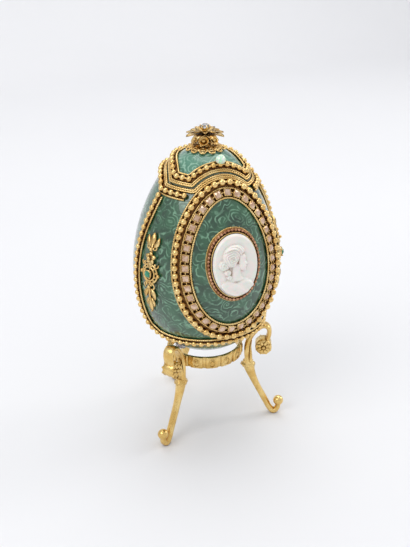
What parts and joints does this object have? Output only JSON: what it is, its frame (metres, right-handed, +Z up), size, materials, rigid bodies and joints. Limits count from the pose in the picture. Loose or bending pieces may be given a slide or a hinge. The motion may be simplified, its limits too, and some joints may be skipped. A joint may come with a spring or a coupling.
{
  "type": "jewelled egg on a stand",
  "caption": "Hollow goose-egg box in green enamel with bead trims, rhinestones, a cameo, a lift-off lid with flower finial, and a gilt three-legged stand.",
  "frame": {"origin": "on the ground, under the middle of the whole object's box", "axes": "+Z up; the cameo front faces -Y; +X to the viewer's right from the front"},
  "size_m": [0.0654, 0.0698, 0.134],
  "materials": {
    "gilt_brass": "polished gilt, slightly worn and tarnished in the recesses",
    "green_enamel": "glossy marbled pearl enamel over eggshell",
    "teal_enamel": "glossy marbled pearl enamel, paler than the body",
    "rhinestone": "square cut champagne rhinestones in gilt cups",
    "cameo_shell": "pearly carved shell, satin",
    "opal": "pale green opal pearl",
    "emerald": "faceted green glass",
    "crystal": "clear faceted crystal",
    "silicone": "clear soft pad"
  },
  "bodies": {
    "root": {"body_bead_row": "gilt_brass", "body_seam_cord": "gilt_brass", "cameo": "cameo_shell", "cameo_frame": "gilt_brass", "egg_body": "green_enamel", "egg_lid": "teal_enamel", "egg_pad_back": "silicone", "egg_pad_left": "silicone", "egg_pad_right": "silicone", "finial_cup": "gilt_brass", "finial_filigree": "gilt_brass", "finial_petals": "gilt_brass", "finial_star": "gilt_brass", "finial_stone": "crystal", "front_band": "gilt_brass", "front_oval_beads": "gilt_brass", "front_oval_stones": "rhinestone", "left_emerald": "emerald", "left_flank_mount": "gilt_brass", "lid_bead_row": "gilt_brass", "lid_seam_cord": "gilt_brass", "opal_pearl": "opal", "panel_cord": "gilt_brass", "right_emerald": "emerald", "right_flank_mount": "gilt_brass", "stand_leg_back": "gilt_brass", "stand_leg_left": "gilt_brass", "stand_leg_right": "gilt_brass", "stand_ring": "gilt_brass"}
  },
  "joints": []
}
